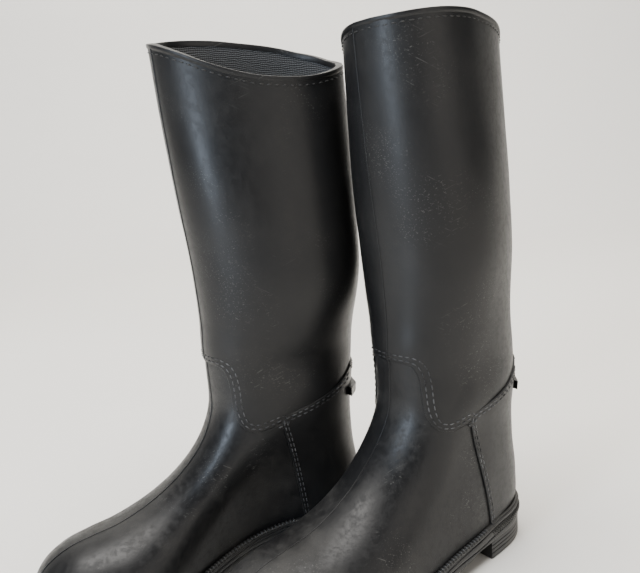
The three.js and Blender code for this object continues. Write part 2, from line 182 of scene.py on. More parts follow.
def rimHeight(p, w):
    middleW, middleP = last["rimMiddle"]
    return along(last["rim"], np.degrees(np.arctan2(w - middleW, p - middleP)))


def turnedLeg(w, p, z):
    turn, lean = last["legTurn"], last["legLean"]
    angle = np.radians(turn["angle"]) * ease((z - turn["from"]) / turn["over"])
    ahead = p - turn["about"]
    leaning = lean["inward"] * ease((z - lean["from"]) / lean["over"])
    turnedW = w * np.cos(angle) + ahead * np.sin(angle) - leaning
    return turnedW, turn["about"] + ahead * np.cos(angle) - w * np.sin(angle)


def surfacePoints(s, v):
    # v runs from -1 at the back, over the inner side, 0 at the front, the outer side, to 1 at the back
    front, back = smoothLine(sections[:, :2], s), smoothLine(sections[:, 2:], s)
    q = np.abs(v)
    p = front[..., 0] * (1 - q) + back[..., 0] * q
    z = front[..., 1] * (1 - q) + back[..., 1] * q
    onMiddle = (q == 0) | (s >= rowCount) | ((q == 1) & (s <= last["heelRow"]))
    w = middleOf(p, z) + np.where(onMiddle, 0, np.sign(v) * halfWidth(p, z))
    w, p = turnedLeg(w, p, z)
    stretch = (rimHeight(p, w) - last["shearFrom"]) / (last["rowTop"] - last["shearFrom"])
    z = np.where(z > last["shearFrom"], last["shearFrom"] + (z - last["shearFrom"]) * stretch, z)
    return np.stack([w, p, z], -1)


# meshes as arrays: points, normals and triangles
def vertexNormals(points, faces):
    a, b, c = (points[faces[:, k]] for k in range(3))
    faceNormals = np.cross(b - a, c - a)
    normals = np.zeros_like(points)
    for k in range(3):
        np.add.at(normals, faces[:, k], faceNormals)
    return normals / np.maximum(np.linalg.norm(normals, axis=1), 1e-12)[:, None]


def withoutSlivers(faces):
    # drops the triangles that use a point twice
    a, b, c = faces.T
    return faces[(a != b) & (b != c) & (a != c)]


def outerSurface():
    size = last["faceSize"]
    ends = np.arange(rowCount + 1)
    steps = [np.diff(smoothLine(sections[:, k:k + 2], ends), axis=0) for k in (0, 2)]
    lengths = np.maximum(*(np.linalg.norm(step, axis=1) for step in steps))
    s = [np.linspace(i, i + 1, max(2, int(lengths[i] / size)), endpoint=False) for i in range(rowCount)]
    s = np.concatenate(s + [np.array([float(rowCount)])])
    count = int(last["aroundHalf"] / size)
    q = (1 - np.cos(np.pi * np.arange(count + 1) / count)) / 2
    v = np.concatenate([-q[::-1], q[1:]])
    points = surfacePoints(*np.meshgrid(s, v, indexing="ij")).reshape(-1, 3)
    across = len(v)
    keys = {}
    shared = np.empty(len(points), int)
    for i, key in enumerate(map(tuple, np.round(points, 3))):
        shared[i] = keys.setdefault(key, i)
    i, j = np.meshgrid(np.arange(len(s) - 1), np.arange(across - 1), indexing="ij")
    a = (i * across + j).ravel()
    b = a + across
    faces = np.concatenate([np.stack([a, b, a + 1], 1), np.stack([a + 1, b, b + 1], 1)])
    faces = withoutSlivers(shared[faces])
    used, inverse = np.unique(faces, return_inverse=True)
    points, faces = points[used], inverse.reshape(-1, 3)
    normals = vertexNormals(points, faces)
    top = points[:, 2].argmax()
    if normals[top, :2] @ (points[top, :2] - last["legMiddle"]) < 0:
        faces, normals = faces[:, ::-1], -normals
    return points, normals, faces


def edgeSplitter(points, normals, f, first):
    # gives the number of the point where the edge a-b passes zero, made once and counted from first
    made, newPoints, newNormals = {}, [], []

    def between(a, b):
        key = (a, b) if a < b else (b, a)
        if key not in made:
            t = f[a] / (f[a] - f[b])
            made[key] = first + len(newPoints)
            newPoints.append(points[a] + (points[b] - points[a]) * t)
            newNormals.append(normals[a] + (normals[b] - normals[a]) * t)
        return made[key]

    return between, newPoints, newNormals


def cutAlong(mesh, values, level, near=0.05):
    # splits the triangles where the value passes the level
    points, normals, faces = mesh
    f = values - level
    f = np.where(np.abs(f) < near, 0, f)
    sign = np.sign(f)
    crossed = (sign[faces].min(1) < 0) & (sign[faces].max(1) > 0)
    between, newPoints, newNormals = edgeSplitter(points, normals, f, len(points))
    extra = []
    for face in faces[crossed]:
        signs = sign[face]
        alone = next(k for k in range(3) if signs[k] not in (0, signs[k - 1], signs[(k + 1) % 3]))
        a, b, c = np.roll(face, -alone)
        if sign[b] == 0:
            m = between(a, c)
            extra += [(a, b, m), (b, c, m)]
        elif sign[c] == 0:
            m = between(a, b)
            extra += [(a, m, c), (m, b, c)]
        else:
            m, n = between(a, b), between(a, c)
            extra += [(a, m, n), (m, b, n), (b, c, n)]
    if not extra:
        return mesh
    normals = np.vstack([normals, newNormals])
    normals /= np.linalg.norm(normals, axis=1)[:, None]
    return np.vstack([points, newPoints]), normals, np.vstack([faces[~crossed], extra])


def levelLine(mesh, values, level):
    # the line on the mesh where the value is the level, as points, normals and edges
    points, normals, faces = mesh
    f = values - level
    f = np.where(np.abs(f) < 1e-6, 1e-6, f)
    between, linePoints, lineNormals = edgeSplitter(points, normals, f, 0)
    edges = []
    for a, b, c in faces[(f[faces].min(1) < 0) & (f[faces].max(1) > 0)]:
        ends = [between(i, j) for i, j in ((a, b), (b, c), (c, a)) if f[i] * f[j] <= 0]
        if len(ends) == 2:
            edges.append(tuple(ends))
    return np.array(linePoints).reshape(-1, 3), np.array(lineNormals).reshape(-1, 3), edges


def picked(mesh, keep):
    points, normals, faces = mesh
    used, inverse = np.unique(faces[keep], return_inverse=True)
    return points[used], normals[used], inverse.reshape(-1, 3)


def boundaryEdges(faces):
    edges = np.concatenate([faces[:, [0, 1]], faces[:, [1, 2]], faces[:, [2, 0]]])
    ordered = np.sort(edges, axis=1)
    _, first, counts = np.unique(ordered, axis=0, return_index=True, return_counts=True)
    return edges[first[counts == 1]]


def thickened(mesh, outer, inner):
    # a closed sheet between two heights over the surface
    points, normals, faces = mesh
    count = len(points)
    both = np.vstack([points + normals * np.reshape(height, (-1, 1)) for height in (outer, inner)])
    a, b = boundaryEdges(faces).T
    walls = [np.stack([b, a, a + count], 1), np.stack([b, a + count, b + count], 1)]
    return both, np.vstack([faces, faces[:, ::-1] + count] + walls)


# seam lines, side view
def bezier(a, b, c, d, steps=14):
    t = np.linspace(0, 1, steps + 1)[:, None]
    a, b, c, d = (np.array(x, float) for x in (a, b, c, d))
    return (1 - t) ** 3 * a + 3 * (1 - t) ** 2 * t * b + 3 * (1 - t) * t**2 * c + t**3 * d


junction = (79, 121)
instepSeam = np.vstack([      # lower edge of the shaft panel, from the front to the counter
    [(140, 170), (122, 170)], bezier((119, 170), (112, 170), (111.5, 156), (111.5, 143)),
    bezier((111.5, 143), (111.5, 122), (107, 117.5), (94, 117.5)), [junction]])
counterTop = np.vstack([[junction], bezier((75.5, 126), (50, 131), (22, 136), (9, 149)), [(-40, 153)]])
counterFront = np.vstack([bezier(junction, (73, 96), (62, 60), (60, 28), 20), [(59.6, 0)]])


def inside(outline, p, z):
    odd = np.zeros(p.shape, bool)
    for a, b in zip(outline, np.roll(outline, -1, axis=0)):
        spans = (a[1] > z) != (b[1] > z)
        with np.errstate(divide="ignore", invalid="ignore"):
            at = a[0] + (z - a[1]) * (b[0] - a[0]) / (b[1] - a[1])
        odd ^= spans & (p < at)
    return odd


def signedDistance(outline, edge, points):
    # positive inside the outline; measured to its edge line only
    distance, _ = nearestOn(edge, points[:, 1], points[:, 2])
    return np.where(inside(outline, points[:, 1], points[:, 2]), distance, -distance)


shaftEdge = np.vstack([instepSeam, counterTop[1:]])
aboveRim = [(-40, 460), (140, 460)]
shaftOutline = np.vstack([shaftEdge, aboveRim])
counterEdge = np.vstack([counterFront[::-1], counterTop[1:]])
counterOutline = np.vstack([counterEdge, [(-40, 0)]])

# materials
finishes = {
    "rubber": {"color": (0.0072, 0.0072, 0.0076), "scuff": (0.075, 0.071, 0.064),
               "scratch": (0.1, 0.098, 0.092), "roughness": 0.3, "ior": 1.39},
    # the ribs' colour is lighter than the sole's rubber: a painted highlight for the glints on the welt ribs, heel
    # hatch and heel beads
    "ribs": {"color": (0.042, 0.041, 0.039), "roughness": 0.24},
    "sole": {"color": (0.011, 0.011, 0.0112), "dust": (0.15, 0.137, 0.115), "roughness": 0.42},
    # the knit's two tones, and the spacing of its wales and courses in millimetres
    "lining": {"light": (0.13, 0.135, 0.14), "dark": (0.012, 0.0125, 0.013), "wale": 1.7, "course": 1.5},
    "thread": (0.085, 0.086, 0.088),
}


def nodeGroup(name, inputs, outputs):
    tree = bpy.data.node_groups.new(name, "ShaderNodeTree")
    for label, kind, value in inputs:
        socket = tree.interface.new_socket(label, in_out="INPUT", socket_type=kind)
        if value is not None:
            socket.default_value = value
    for label, kind in outputs:
        tree.interface.new_socket(label, in_out="OUTPUT", socket_type=kind)
    return tree, tree.nodes.new("NodeGroupInput"), tree.nodes.new("NodeGroupOutput")


def fill(tree, node, inputs):
    # links or sets the inputs of a node
    for key, value in inputs.items():
        if isinstance(value, bpy.types.NodeSocket):
            tree.links.new(value, node.inputs[key])
        else:
            node.inputs[key].default_value = value


def add(tree, kind, inputs=None, **settings):
    node = tree.nodes.new(kind)
    for key, value in settings.items():
        setattr(node, key, value)
    fill(tree, node, inputs or {})
    return node


def ramp(tree, value, low, high):
    inputs = {"Value": value, "From Min": low, "From Max": high}
    return add(tree, "ShaderNodeMapRange", inputs, interpolation_type="SMOOTHSTEP").outputs["Result"]


def calc(tree, operation, a, b=0.0, c=0.5):
    return add(tree, "ShaderNodeMath", {0: a, 1: b, 2: c}, operation=operation).outputs[0]


def cloudy(tree, vector, scale, detail, roughness=0.5):
    inputs = {"Vector": vector, "Scale": scale, "Detail": detail, "Roughness": roughness}
    return add(tree, "ShaderNodeTexNoise", inputs).outputs["Fac"]


def bumped(tree, height, strength, distance):
    inputs = {"Height": height, "Strength": strength, "Distance": distance}
    return add(tree, "ShaderNodeBump", inputs).outputs[0]


def blendColor(tree, mask, a, b):
    a, b = ((*value, 1) if isinstance(value, tuple) else value for value in (a, b))
    return add(tree, "ShaderNodeMix", {0: mask, 6: a, 7: b}, data_type="RGBA").outputs[2]


def scratchGroup():
    # fine light scratches in changing directions, in patches
    tree, given, result = nodeGroup(
        "fineScratches", [("Vector", "NodeSocketVector", None), ("Amount", "NodeSocketFloat", 0.5)],
        [("Mask", "NodeSocketFloat")])
    vector = given.outputs["Vector"]
    total = None
    for turn, seed in ((0.35, 3.1), (-0.6, 11.7), (1.25, 23.4)):
        facing = add(tree, "ShaderNodeMapping", {
            "Vector": vector, "Location": (seed, seed / 2, seed / 3),
            "Rotation": (turn, turn * 0.7, turn * 1.9)})
        drawn = add(tree, "ShaderNodeMapping", {"Vector": facing.outputs[0], "Scale": (22, 1300, 1300)})
        mask = ramp(tree, cloudy(tree, drawn.outputs[0], 1.0, 1.0, 0.4), 0.69, 0.76)
        total = mask if total is None else calc(tree, "MAXIMUM", total, mask)
    total = calc(tree, "MULTIPLY", total, ramp(tree, cloudy(tree, vector, 22.0, 2.0), 0.45, 0.7))
    fill(tree, result, {"Mask": calc(tree, "MULTIPLY", total, given.outputs["Amount"])})
    return tree


def dustGroup():
    # soft cloudy dust with fine specks
    tree, given, result = nodeGroup(
        "cloudyDust", [("Vector", "NodeSocketVector", None), ("Scale", "NodeSocketFloat", 14.0),
                       ("Amount", "NodeSocketFloat", 0.5)], [("Mask", "NodeSocketFloat")])
    vector = given.outputs["Vector"]
    soft = ramp(tree, cloudy(tree, vector, given.outputs["Scale"], 7.0, 0.62), 0.42, 0.78)
    grainy = ramp(tree, cloudy(tree, vector, 1400.0, 1.0), 0.3, 0.75)
    mixed = calc(tree, "MULTIPLY", soft, calc(tree, "MULTIPLY_ADD", grainy, 0.7, 0.5))
    fill(tree, result, {"Mask": calc(tree, "MULTIPLY", mixed, given.outputs["Amount"])})
    return tree


scratches = scratchGroup()
dust = dustGroup()


def newMaterial(name):
    material = bpy.data.materials.new(name)
    material.use_nodes = True
    tree = material.node_tree
    tree.nodes.clear()
    shader = tree.nodes.new("ShaderNodeBsdfPrincipled")
    add(tree, "ShaderNodeOutputMaterial", {"Surface": shader.outputs[0]})
    return material, tree, shader


def objectPlace(tree):
    return tree.nodes.new("ShaderNodeTexCoord").outputs["Object"]


def grouped(tree, group, **inputs):
    return add(tree, "ShaderNodeGroup", inputs, node_tree=group).outputs[0]


def rubberMaterial(name, color, roughness, scuffed, scratched, mottling):
    material, tree, shader = newMaterial(name)
    rubber = finishes["rubber"]
    at = objectPlace(tree)
    haze = grouped(tree, dust, Vector=at, Scale=13.0, Amount=scuffed)
    lines = grouped(tree, scratches, Vector=at, Amount=scratched)
    broad = cloudy(tree, at, 9.0, 3.0)
    body = blendColor(tree, broad, tuple(c * 0.75 for c in color), tuple(c * 1.35 for c in color))
    dusty = blendColor(tree, haze, body, rubber["scuff"])
    rough = calc(tree, "MULTIPLY_ADD", ramp(tree, broad, 0.3, 0.7), 0.09, roughness)
    rough = calc(tree, "MULTIPLY_ADD", haze, 0.55, rough)
    mottle = ramp(tree, cloudy(tree, at, 210.0, 8.0, 0.72), 0.42, 0.64)
    rough = calc(tree, "MULTIPLY_ADD", mottle, 0.07 + mottling * 0.09, rough)
    fine = calc(tree, "MULTIPLY", cloudy(tree, at, 620.0, 5.0, 0.6), 0.1 + 0.12 * mottling)
    height = calc(tree, "MULTIPLY_ADD", cloudy(tree, at, 55.0, 2.0), 0.5, fine)
    height = calc(tree, "MULTIPLY_ADD", lines, -0.06, height)
    fill(tree, shader, {"Base Color": blendColor(tree, lines, dusty, rubber["scratch"]), "Roughness": rough,
                        "Normal": bumped(tree, height, 0.35, 0.0006), "IOR": rubber["ior"]})
    return material


def threadMaterial():
    material, tree, shader = newMaterial("mouldedStitch")
    worn = ramp(tree, cloudy(tree, objectPlace(tree), 60.0, 4.0), 0.35, 0.65)
    color = blendColor(tree, worn, finishes["rubber"]["color"], finishes["thread"])
    fill(tree, shader, {"Base Color": color, "Roughness": 0.42})
    return material


def liningMaterial():
    # knitted courses and wales, on the lining's own map in millimetres
    material, tree, shader = newMaterial("knitLining")
    knitted = finishes["lining"]
    where = add(tree, "ShaderNodeUVMap", uv_map="knit").outputs[0]
    split = add(tree, "ShaderNodeSeparateXYZ", {"Vector": where})
    up = calc(tree, "MULTIPLY_ADD", cloudy(tree, where, 0.12, 2.0), 3.0, split.outputs["Y"])
    wale = calc(tree, "SINE", calc(tree, "MULTIPLY", split.outputs["X"], 2 * math.pi / knitted["wale"]))
    arched = calc(tree, "MULTIPLY", calc(tree, "ABSOLUTE", wale), 1.3)
    course = calc(tree, "SINE", calc(tree, "MULTIPLY_ADD", up, 2 * math.pi / knitted["course"], arched))
    loops = calc(tree, "MULTIPLY_ADD", course, 0.36, 0.5)
    loops = calc(tree, "MULTIPLY_ADD", wale, 0.16, loops)
    fuzz = calc(tree, "ADD", cloudy(tree, where, 3.0, 3.0), 0.35)
    mask = calc(tree, "MULTIPLY", ramp(tree, loops, 0.15, 0.95), fuzz)
    fill(tree, shader, {"Base Color": blendColor(tree, mask, knitted["dark"], knitted["light"]),
                        "Normal": bumped(tree, loops, 0.9, 0.0006), "Roughness": 0.85, "Sheen Weight": 0.25})
    return material


def soleMaterial():
    # dusty rubber, dustier towards the ground
    material, tree, shader = newMaterial("soleRubber")
    sole = finishes["sole"]
    at = objectPlace(tree)
    haze = grouped(tree, dust, Vector=at, Scale=30.0, Amount=0.8)
    low = ramp(tree, add(tree, "ShaderNodeSeparateXYZ", {"Vector": at}).outputs["Z"], 0.024, 0.0)
    mask = calc(tree, "MULTIPLY", haze, calc(tree, "MULTIPLY_ADD", low, 0.7, 0.3))
    fill(tree, shader, {"Base Color": blendColor(tree, mask, sole["color"], sole["dust"]),
                        "Roughness": calc(tree, "MULTIPLY_ADD", haze, 0.35, sole["roughness"]),
                        "Normal": bumped(tree, cloudy(tree, at, 500.0, 4.0), 0.4, 0.0003)})
    return material


def plainMaterial(name, low, high, scale, roughness, metallic=0.0, weave=0.0):
    # cloudy colour with fine grain, for board, sheet, steel and cloth
    material, tree, shader = newMaterial(name)
    at = objectPlace(tree)
    cloud = cloudy(tree, at, scale, 6.0, 0.6)
    height = cloudy(tree, at, 900.0, 3.0)
    if weave:
        split = add(tree, "ShaderNodeSeparateXYZ", {"Vector": at})
        across, down = (calc(tree, "SINE", calc(tree, "MULTIPLY", split.outputs[axis], 2 * math.pi / weave))
                        for axis in "XY")
        height = calc(tree, "MULTIPLY_ADD", calc(tree, "MULTIPLY", across, down), 0.6, height)
    fill(tree, shader, {"Base Color": blendColor(tree, ramp(tree, cloud, 0.3, 0.7), low, high),
                        "Roughness": calc(tree, "MULTIPLY_ADD", cloud, 0.2, roughness - 0.1),
                        "Metallic": metallic, "Normal": bumped(tree, height, 0.5, 0.0003)})
    return material


black, blackRoughness = finishes["rubber"]["color"], finishes["rubber"]["roughness"]
upperRubber = rubberMaterial("upperRubber", black, blackRoughness, 0.16, 0.7, 0.2)
vampRubber = rubberMaterial("vampRubber", black, blackRoughness, 0.8, 1.0, 1.0)
# rib rubber: its lighter base colour is a painted highlight for the ribs' glints, with real dust laid over it
ribRubberPaintedHighlight = rubberMaterial(
    "ribRubberPaintedHighlight", finishes["ribs"]["color"], finishes["ribs"]["roughness"], 1.0, 0.2, 0.5)
stitchRubber = threadMaterial()
knit = liningMaterial()
soleRubber = soleMaterial()
insoleCloth = plainMaterial(
    "insoleCloth", (0.03, 0.031, 0.033), (0.075, 0.077, 0.082), 60.0, 0.92, weave=0.0016)
stiffenerSheet = plainMaterial("stiffenerSheet", (0.2, 0.21, 0.22), (0.3, 0.31, 0.32), 40.0, 0.7)
springSteel = plainMaterial("springSteel", (0.42, 0.43, 0.44), (0.6, 0.6, 0.61), 80.0, 0.35, metallic=1.0)
fibreBoard = plainMaterial("fibreBoard", (0.24, 0.15, 0.08), (0.4, 0.28, 0.16), 120.0, 0.85)
print("materials made")

# placing
def mountPlace(name):
    return next(m["pos_m"] for m in frame["record"]["mounts"] if m["name"] == name)


rightAxis = next(j["axis"] for j in frame["joints"] if j["name"] == "right_ankle_flex")
rightTurn = math.atan2(rightAxis[1], rightAxis[0])
heelRest = {"w": 2, "p": 32}      # where the record's heel mounts are, in the boot's own frame


def toRow(points, side):
    # millimetres in the boot's frame to metres in the row's frame
    flip = 1 if side == "left" else -1
    turn = 0 if side == "left" else rightTurn
    spin = np.array([[math.cos(turn), -math.sin(turn)], [math.sin(turn), math.cos(turn)]])
    mount = np.array(mountPlace(f"{side}_heel_rest")[:2])
    heel = mount - spin @ np.array([flip * heelRest["w"], -heelRest["p"]]) * mm
    flat = np.stack([flip * points[:, 0], -points[:, 1]], -1) @ spin.T * mm + heel
    return np.column_stack([flat, points[:, 2] * mm])


def meshObject(name, points, faces, material, side, sharp=35, uv=None):
    faces = faces.tolist() if isinstance(faces, np.ndarray) else faces
    if side == "right":
        faces = [face[::-1] for face in faces]
    mesh = bpy.data.meshes.new(name)
    mesh.from_pydata(toRow(np.asarray(points, float), side).tolist(), [], faces)
    mesh.update()
    mesh.shade_smooth()
    mesh.set_sharp_from_angle(angle=math.radians(sharp))
    if uv is not None:
        layer = mesh.uv_layers.new(name="knit")
        corners = np.empty(len(mesh.loops), np.int32)
        mesh.loops.foreach_get("vertex_index", corners)
        layer.data.foreach_set("uv", uv.astype(np.float32)[corners].ravel())
    mesh.materials.append(material)
    piece = bpy.data.objects.new(name, mesh)
    bpy.context.scene.collection.objects.link(piece)
    return piece


bendZone = (100, 235)       # heights between which the upper bends at the ankle; bends() only bakes each piece into place and does not bend it


def bends(piece, side):
    ankle = np.array([[0, last["legTurn"]["about"], z] for z in bendZone], float)
    low, high = toRow(ankle, side)
    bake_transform(piece)


# upper panels
panels = {
    "thickness": 1.5, "lapLength": 26, "tuckFrom": 7, "tuckLength": 5, "under": 5.0,
    "edgeRadius": 0.4, "edgeRows": (0, 0.1, 0.22, 0.4),
    # height over the surface, how much higher beside the seam and for how long, and the inner face there
    "shaft": {"height": 0.15, "lap": 1.2, "flat": 7, "inner": 0.06},
    "counter": {"height": 0.35, "lap": 1.1, "flat": 6, "inner": 0.36},
    "vamp": {"sunk": 0.12, "back": 55},
}


def edgeDrop(distance):
    radius = panels["edgeRadius"]
    inwards = np.clip(radius - distance, 0, radius)
    return radius - np.sqrt(np.maximum(radius**2 - inwards**2, 0))


def softened(mesh):
    # adds the slight waviness of moulded rubber
    points, normals, faces = mesh
    waves = []
    for point in map(Vector, points):
        broad = noise.noise(point * 0.021) * 0.32
        waves.append(broad + noise.noise(point * 0.06 + Vector((7, 3, 1))) * 0.08)
    points = points + normals * np.array(waves)[:, None]
    return points, vertexNormals(points, faces), faces


outerSkin = softened(outerSurface())
print("outer surface:", len(outerSkin[2]), "faces")


def cutAtEdge(outline, edge):
    # the outer surface, with rows of points where a panel's edge rounds over
    mesh = outerSkin
    for level in panels["edgeRows"]:
        mesh = cutAlong(mesh, signedDistance(outline, edge, mesh[0]), level, 0.03)
    return mesh


def within(mesh, outline, edge):
    return picked(mesh, signedDistance(outline, edge, mesh[0][mesh[2]].mean(1)) > 0)


def lapped(mesh, edge, shape):
    # the mesh with its outer and inner heights over the surface, and the distance to the edge
    distance, _ = nearestOn(edge, mesh[0][:, 1], mesh[0][:, 2])
    lap = 1 - ease((distance - shape["flat"]) / panels["lapLength"])
    outer = shape["height"] + shape["lap"] * lap - edgeDrop(distance)
    tuck = ease((distance - panels["tuckFrom"]) / panels["tuckLength"])
    return mesh, outer, shape["inner"] - panels["thickness"] * tuck, distance


def shaftPanel():
    mesh = cutAtEdge(shaftOutline, instepSeam)
    hidden = counterTop - np.array([0, panels["under"]])
    limit = np.vstack([instepSeam[:-1], [(junction[0] + 1.5, junction[1] - 1.5)], hidden])
    shape = np.vstack([limit, aboveRim])
    mesh = cutAlong(mesh, signedDistance(shape, limit, mesh[0]), 0)
    return lapped(within(mesh, shape, limit), instepSeam, panels["shaft"])


def heelCounter():
    mesh = within(cutAtEdge(counterOutline, counterEdge), counterOutline, counterEdge)
    return lapped(mesh, counterEdge, panels["counter"])


def underOthers(points):
    # how far a point lies under the shaft panel or the heel counter
    return np.maximum(signedDistance(shaftOutline, shaftEdge, points),
                      signedDistance(counterOutline, counterFront, points))


def vampPanel():
    under, shape = panels["under"], panels["vamp"]
    mesh = cutAlong(outerSkin, signedDistance(shaftOutline, instepSeam, outerSkin[0]), under)
    mesh = cutAlong(mesh, signedDistance(counterOutline, counterFront, mesh[0]), under)
    centres = mesh[0][mesh[2]].mean(1)
    mesh = picked(mesh, (underOthers(centres) < under) & (centres[:, 1] > shape["back"]))
    covered = underOthers(mesh[0])
    return mesh, -shape["sunk"] * ease(covered / 2), np.full(len(covered), -panels["thickness"]), covered


outerFaces = {}
for label, build, material in (("shaft_panel", shaftPanel, upperRubber),
                               ("heel_counter", heelCounter, upperRubber), ("vamp", vampPanel, vampRubber)):
    mesh, outer, inner, distance = build()
    points, faces = thickened(mesh, outer, inner)
    outerFaces[label] = ((mesh[0] + mesh[1] * outer[:, None], mesh[1], mesh[2]), distance)
    for side in sides:
        piece = meshObject(f"{side}_{label}_skin", points, faces, material, side)
        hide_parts(f"{side}_{label}")
        bends(piece, side)
    print(label, len(faces), "faces")


# lining
lining = {"outer": 3.3, "inner": 4.2, "mapRadius": 52}       # depths, and the radius that its map unrolls


def knitLining():
    points = outerSkin[0]
    middleW, middleP = last["legMiddle"]
    angle = np.arctan2(points[:, 0] - middleW, middleP - points[:, 1])
    unrolled = np.column_stack([angle * lining["mapRadius"], points[:, 2]])
    return *thickened(outerSkin, -lining["outer"], -lining["inner"]), np.vstack([unrolled, unrolled])


points, faces, uv = knitLining()
for side in sides:
    piece = meshObject(f"{side}_knit_lining_cloth", points, faces, knit, side, uv=uv)
    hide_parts(f"{side}_knit_lining")
    bends(piece, side)
print("lining made")

# rings that follow the foot's plan: welt, outsole, heel
planSteps = 110       # faces along each side of the foot


def footPlan():
    back, front = backLine[-1, 0], sections[-1, 0]
    p = back + (front - back) * (1 - np.cos(np.pi * np.arange(planSteps + 1) / planSteps)) / 2
    z = feather(p)
    mid, half = middleOf(p, z), halfWidth(p, z)
    half[0] = half[-1] = 0
    outerSide = np.column_stack([mid + half, p])
    innerSide = np.column_stack([mid - half, p])[1:-1][::-1]
    ring = np.vstack([outerSide, innerSide])
    for _ in range(3):
        ring = (np.roll(ring, 1, axis=0) + 2 * ring + np.roll(ring, -1, axis=0)) / 4
    tangent = np.roll(ring, -1, axis=0) - np.roll(ring, 1, axis=0)
    outward = np.column_stack([tangent[:, 1], -tangent[:, 0]])
    outward /= np.linalg.norm(outward, axis=1)[:, None]
    if ((ring - ring.mean(0)) * outward).sum() < 0:
        outward = -outward
    return ring, outward


planRing, planOut = footPlan()


def ringFaces(count, k):
    # the faces round a ring of profiles, each with k points
    i, j = (grid.ravel() for grid in np.meshgrid(np.arange(count), np.arange(k), indexing="ij"))
    after, down = (i + 1) % count, (j + 1) % k
    return np.stack([i * k + j, after * k + j, after * k + down, i * k + down], 1)


def ringWall(profile):
    # profile: (reach, height) pairs, each a number or an array round the ring; closed round the section
    columns = []
    count = len(planRing)
    for reach, height in profile:
        at = planRing + planOut * np.broadcast_to(reach, (count,))[:, None]
        columns.append(np.column_stack([at, np.broadcast_to(height, (count,))]))
    return np.stack(columns, 1).reshape(-1, 3), ringFaces(count, len(profile))


def facingOut(points, faces):
    # turns a closed mesh so that its faces point outwards
    points = np.asarray(points, float)
    a, b, c = points[faces[:, 0]], points[faces[:, 1]], points[faces[:, 2]]
    volume = (a * np.cross(b, c)).sum()
    if faces.shape[1] == 4:
        d = points[faces[:, 3]]
        volume += (a * np.cross(c, d)).sum()
    # the boot's frame (w, p, z) is left-handed against the row's (x, -y, z)
    return faces if volume < 0 else faces[:, ::-1]


sole = {
    "weltReach": 3.6, "weltHeight": 2.6, "weltInside": -4.6, "edgeReach": 3.2,
    "grooveDepth": 0.9, "grooveWidth": 0.9,
    # depths of the grooves below the upper, by p
    "upperGroove": [(-5, 3.5), (70, 3.6), (130, 4.6), (275, 4.8)],
    "lowerGroove": [(-5, 9.9), (70, 9.7), (110, 8.6), (275, 8.4)],
    "treadDepth": 1.3,
}
ringP = planRing[:, 1]
ringFeather = feather(ringP)
ringUnder = along(last["underside"], ringP)


def weltProfile():
    top, reach, inside = ringFeather, sole["weltReach"], sole["weltInside"]
    low = top - sole["weltHeight"]
    return [(inside, top - 0.3), (-0.2, top + 0.15), (1.6, top + 0.25), (2.9, top - 0.1),
            (reach - 0.1, top - 0.7), (reach, top - 1.4), (reach - 0.15, low + 0.2), (reach - 0.7, low),
            (inside, low)]


def soleProfile():
    top = ringFeather - sole["weltHeight"] - 0.15
    reach, depth, half = sole["edgeReach"], sole["grooveDepth"], sole["grooveWidth"] / 2
    profile = [(-5, top), (reach - 0.5, top), (reach, top - 0.3)]
    for table in (sole["upperGroove"], sole["lowerGroove"]):
        at = ringFeather - along(table, ringP)
        profile += [(reach, at + half + 0.2), (reach - 0.15, at + half), (reach - depth, at + half * 0.5),
                    (reach - depth, at - half * 0.5), (reach - 0.15, at - half), (reach, at - half - 0.2)]
    under = ringUnder
    profile += [(reach - 0.05, under + 1.2), (reach - 0.5, under + 0.35), (reach - 1.4, under),
                (-3.0, under), (-3.2, under + sole["treadDepth"])]
    return profile


def capped(column, k):
    # closes the ring across the foot, between opposite places of one profile column
    count = len(planRing)
    places = []
    for a in range(planSteps):
        b, c, d = a + 1, (count - a - 1) % count, (count - a) % count
        if a == 0:
            places.append((b, c, 0, 0))
        elif b == planSteps:
            places.append((a, b, d, d))
        else:
            places.append((a, b, c, d))
    return np.array(places) * k + column


def disc(profile):
    # a solid whose profile runs from the middle of the top to the middle of the bottom
    points, quads = ringWall(profile)
    k = len(profile)
    quads = quads[np.arange(len(quads)) % k != k - 1]
    quads = np.vstack([quads, capped(0, k), capped(k - 1, k)[:, ::-1]])
    return points, withoutSlivers(np.vstack([quads[:, [0, 1, 2]], quads[:, [0, 2, 3]]]))


weltPoints, weltFaces = ringWall(weltProfile())
solePoints, soleFaces = disc(soleProfile())
for side in sides:
    for name, points, faces, node in (("welt_strip", weltPoints, weltFaces, "welt"),
                                      ("outsole_body", solePoints, soleFaces, "outsole")):
        piece = meshObject(f"{side}_{name}", points, facingOut(points, faces), soleRubber, side, sharp=50)
        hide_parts(f"{side}_{node}")
        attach(piece, f"{side}_foot")
print("sole made")


# repeated and path-following details, made with Geometry Nodes
def geometryTree(name, inputs):
    tree = bpy.data.node_groups.new(name, "GeometryNodeTree")
    tree.interface.new_socket("Geometry", in_out="INPUT", socket_type="NodeSocketGeometry")
    for label, kind, value in inputs:
        tree.interface.new_socket(label, in_out="INPUT", socket_type=kind).default_value = value
    tree.interface.new_socket("Material", in_out="INPUT", socket_type="NodeSocketMaterial")
    tree.interface.new_socket("Geometry", in_out="OUTPUT", socket_type="NodeSocketGeometry")
    return tree, tree.nodes.new("NodeGroupInput"), tree.nodes.new("NodeGroupOutput")


def finishTree(tree, given, result, geometry):
    real = add(tree, "GeometryNodeRealizeInstances", {"Geometry": geometry})
    painted = add(tree, "GeometryNodeSetMaterial", {
        "Geometry": real.outputs[0], "Material": given.outputs["Material"]})
    fill(tree, result, {0: painted.outputs[0]})


